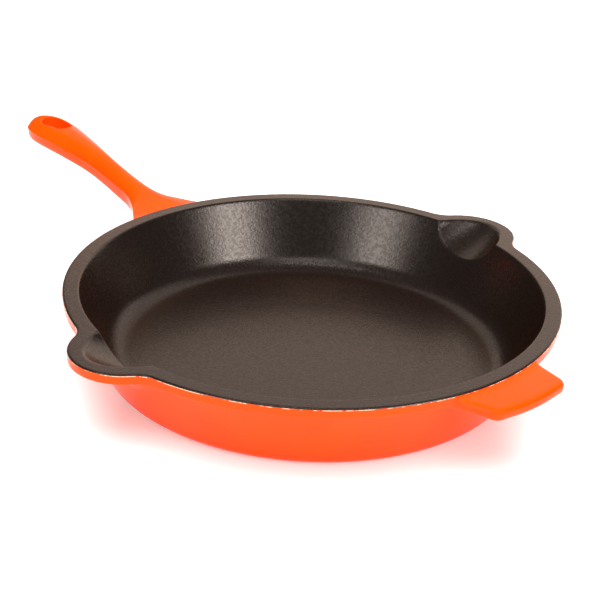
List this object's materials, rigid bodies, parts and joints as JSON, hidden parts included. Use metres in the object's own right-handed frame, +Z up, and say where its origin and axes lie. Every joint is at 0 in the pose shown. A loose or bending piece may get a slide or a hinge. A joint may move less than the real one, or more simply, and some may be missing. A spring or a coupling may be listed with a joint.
{
  "type": "cast iron skillet",
  "caption": "Enamelled cast iron skillet with a sloping wall, pour spouts in the rim, a long handle with a hanging hole and a short helper handle.",
  "frame": {"origin": "centre of the flat underside of the base, on the surface that the pan stands on", "axes": "+X along the long handle, away from the pan; +Z up; +Y towards the left pour spout, as seen by a cook holding the long handle and looking at the pan"},
  "size_m": [0.4358, 0.305, 0.0669],
  "materials": {
    "cast_iron_core": "raw grey cast iron, covered by enamel",
    "interior_black": "satin black-brown porcelain enamel with a fine pebbled grain",
    "exterior_orange": "glossy orange porcelain enamel"
  },
  "bodies": {
    "root": {"pan_floor": "cast_iron_core", "pan_wall": "cast_iron_core", "left_pour_spout": "cast_iron_core", "right_pour_spout": "cast_iron_core", "long_handle": "cast_iron_core", "helper_handle": "cast_iron_core", "interior_enamel": "interior_black", "base_enamel": "exterior_orange", "exterior_enamel": "exterior_orange", "long_handle_enamel": "exterior_orange", "helper_handle_enamel": "exterior_orange"}
  },
  "joints": []
}
